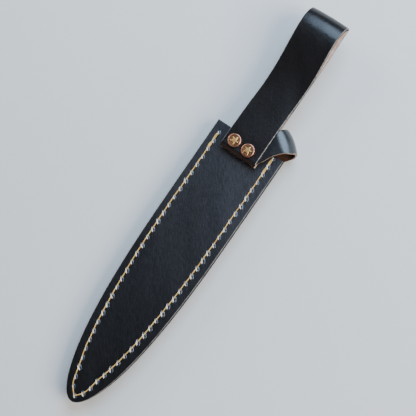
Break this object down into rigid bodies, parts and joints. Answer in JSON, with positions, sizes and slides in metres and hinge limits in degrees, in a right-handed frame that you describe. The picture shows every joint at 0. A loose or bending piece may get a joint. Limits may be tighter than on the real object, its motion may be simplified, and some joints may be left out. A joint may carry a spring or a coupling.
{
  "type": "knife sheath",
  "caption": "Leather belt sheath for a hori hori garden knife: sewn panels with a welt, a folded riveted belt loop, and a keeper strap that wraps the handle and snaps shut.",
  "frame": {"origin": "middle of the flat face of the front panel's dome, on the sheath's long axis, where the sheath lies on a surface", "axes": "+X across the sheath towards the keeper's bend, +Y from the tip to the mouth and the belt loop, +Z out of the back panel towards the wearer"},
  "size_m": [0.0589, 0.3208, 0.0291],
  "materials": {
    "panel_leather": "black, oiled, satin",
    "strap_leather": "black, oiled, satin",
    "keeper_leather": "black, glossy, brown flesh side",
    "edge_leather": "dyed cut edge",
    "thread": "waxed gold-tan thread",
    "copper": "copper plated, polished rim",
    "brass": "brass plated"
  },
  "bodies": {
    "sheath": {"back_panel": "panel_leather", "front_panel": "panel_leather", "welt": "edge_leather", "belt_loop": "strap_leather", "keeper_strap": "keeper_leather", "rivet_cap_left": "copper", "rivet_cap_right": "copper", "rivet_post_left": "brass", "rivet_post_right": "brass", "snap_stud": "brass", "snap_eyelet": "brass", "seam_thread_back": "thread", "seam_thread_front": "thread"},
    "flap": {"keeper_flap": "keeper_leather", "snap_cap": "copper", "snap_socket": "brass"}
  },
  "joints": [
    {"name": "keeper_fold", "type": "hinge", "parent": "sheath", "child": "flap", "pos_m": [0.02336, 0.11896, 0.00388], "axis": [0.8161, -0.5779, 0], "range_deg": [0, 80]}
  ]
}
